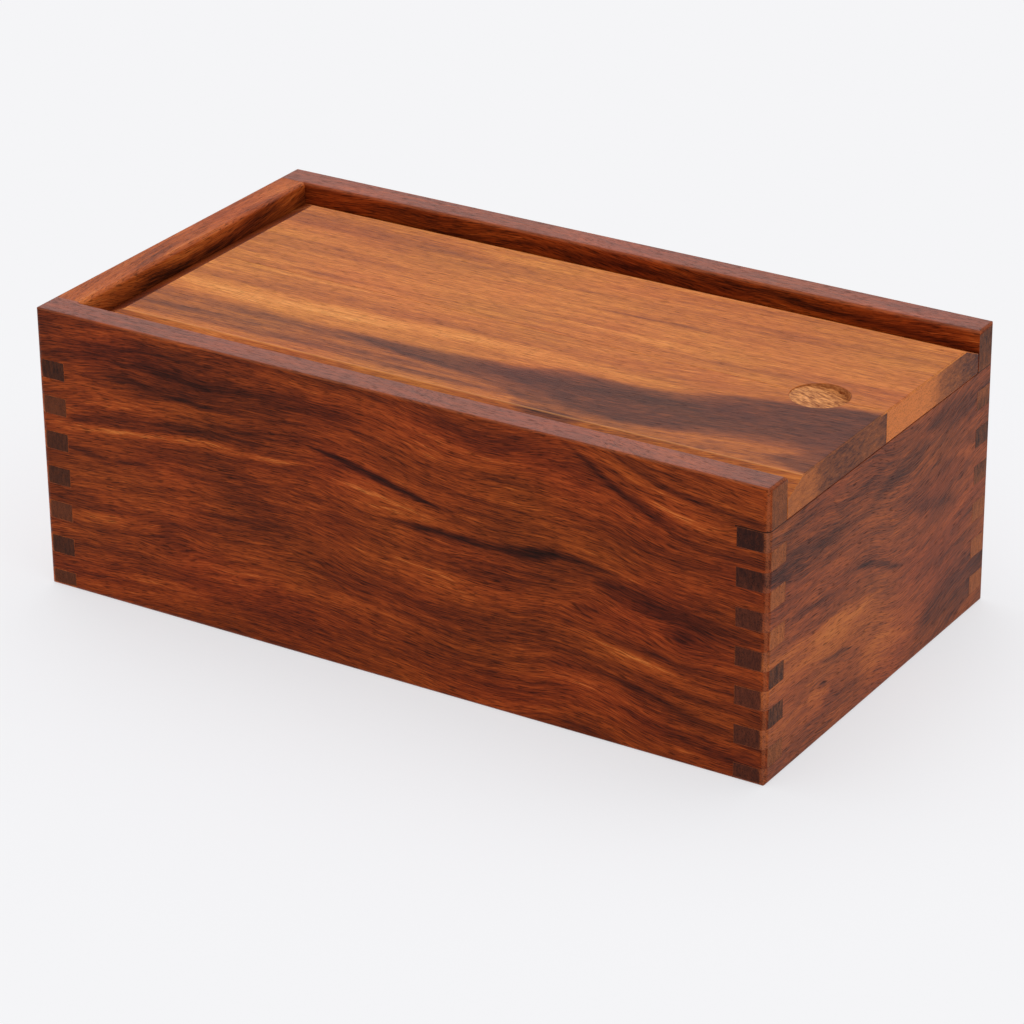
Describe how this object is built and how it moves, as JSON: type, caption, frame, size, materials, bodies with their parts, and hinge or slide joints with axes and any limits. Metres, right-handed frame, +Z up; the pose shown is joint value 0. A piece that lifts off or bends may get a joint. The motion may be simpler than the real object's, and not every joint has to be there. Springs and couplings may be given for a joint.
{
  "type": "sliding-lid box",
  "caption": "Finger-jointed hardwood storage box with a raised-field sliding lid that runs on hidden ribs and has a fingertip notch near its open end.",
  "frame": {"origin": "middle of the underside, on the surface that the box stands on", "axes": "+X along the box towards the low end where the lid comes out, +Y to the back, +Z up"},
  "size_m": [0.262, 0.144, 0.096],
  "materials": {
    "side_wood": "oiled rosewood, satin",
    "end_wood": "oiled rosewood, satin",
    "panel_wood": "sanded hardwood, matt",
    "lid_wood": "oiled rosewood, satin"
  },
  "bodies": {
    "box": {"front_board": "side_wood", "back_board": "side_wood", "tall_end_board": "end_wood", "low_end_board": "end_wood", "bottom_panel": "panel_wood"},
    "lid": {"lid_front_board": "lid_wood", "lid_back_board": "lid_wood"}
  },
  "joints": [
    {"name": "lid_slide", "type": "slide", "parent": "box", "child": "lid", "axis": [1, 0, 0], "range_m": [0, 0.222]}
  ]
}
